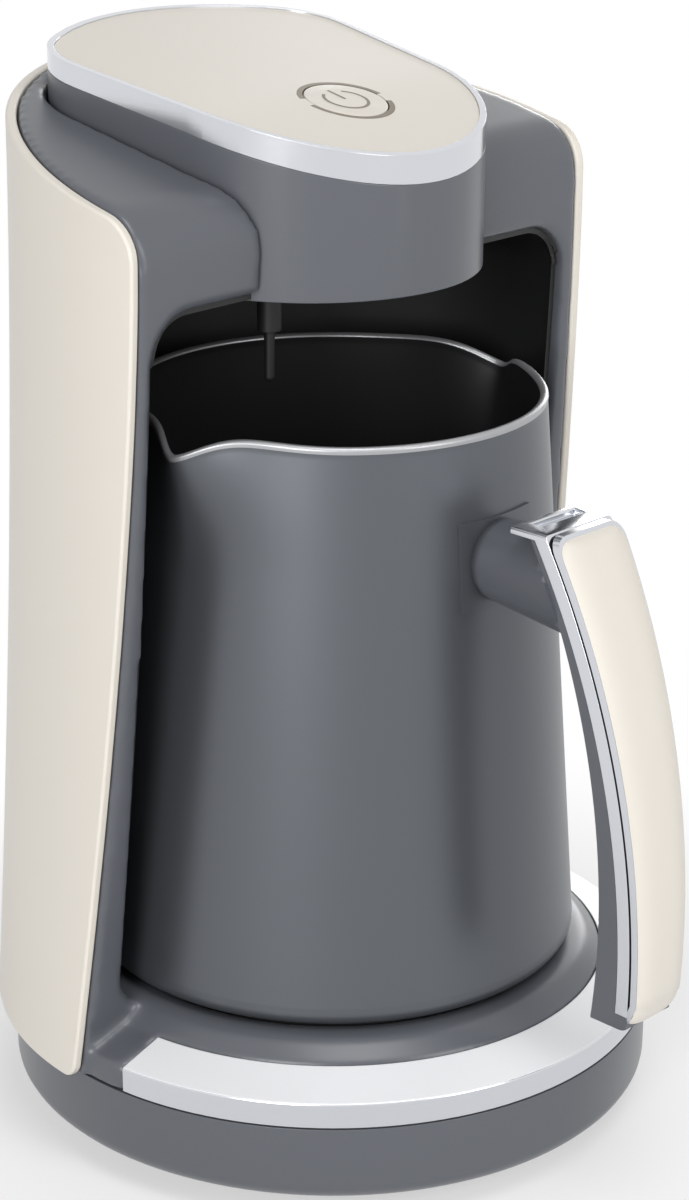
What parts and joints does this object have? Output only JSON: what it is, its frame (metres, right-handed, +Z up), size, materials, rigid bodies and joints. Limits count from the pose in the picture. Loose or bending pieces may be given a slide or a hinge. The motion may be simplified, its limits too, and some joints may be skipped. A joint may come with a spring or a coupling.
{
  "type": "electric turkish coffee maker",
  "caption": "Electric turkish coffee maker with a heated base, a wrap-round body, a control head over the bay and a lift-out pot with a bow handle.",
  "frame": {"origin": "centre of the whole object's footprint, on the worktop", "axes": "+Z up; -Y towards the front, where the pot's handle points; +X to the right seen from the front"},
  "size_m": [0.1598, 0.1808, 0.2486],
  "materials": {
    "housing_grey": "satin, fine grain",
    "ivory_gloss": "soft gloss",
    "chrome": "bright plated, lightly brushed",
    "pot_coat": "satin enamel, dark non-stick inside",
    "plate_steel": "turned, satin",
    "zinc_steel": "zinc plated",
    "liner_black": "satin",
    "rubber_black": "matt",
    "board_green": "solder mask",
    "light_amber": "translucent"
  },
  "bodies": {
    "housing": {"base_pan": "housing_grey", "rubber_feet": "rubber_black", "base_screws": "zinc_steel", "cord_gland": "rubber_black", "power_board": "board_green", "base_trim": "chrome", "base_deck": "housing_grey", "main_housing": "housing_grey", "cavity_liner": "liner_black", "shell_panel": "ivory_gloss", "wire_loom": "rubber_black", "hot_plate": "plate_steel", "plate_gasket": "rubber_black", "heating_element": "zinc_steel", "thermostat": "liner_black", "thermal_fuse": "zinc_steel", "plate_nuts": "zinc_steel", "head_housing": "housing_grey", "head_cover": "liner_black", "head_screws": "zinc_steel", "lid_band": "chrome", "lid_plate": "ivory_gloss", "light_ring": "light_amber", "key_frame": "liner_black", "frame_screws": "zinc_steel", "control_board": "board_green", "key_switch": "liner_black", "buzzer": "liner_black", "probe_sleeve": "liner_black", "probe_rod": "liner_black", "key_spring": "zinc_steel"},
    "pot": {"pot_body": "pot_coat", "pot_base": "pot_coat", "handle_bracket": "pot_coat", "handle_neck": "housing_grey", "handle_core": "housing_grey", "handle_trim": "chrome", "handle_bezel": "chrome", "handle_insert": "ivory_gloss", "handle_screw": "zinc_steel"},
    "key": {"power_key": "ivory_gloss"}
  },
  "joints": [
    {"name": "pot_lift", "type": "slide", "parent": "housing", "child": "pot", "axis": [0, -0.9986, 0.0523], "range_m": [0, 0.15]},
    {"name": "key_press", "type": "slide", "parent": "housing", "child": "key", "axis": [0, 0.2122, -0.9772], "range_m": [0, 0.0007], "stiffness_N_per_m": 600, "springref_m": -0.0008, "deforming": ["key_spring"]}
  ]
}
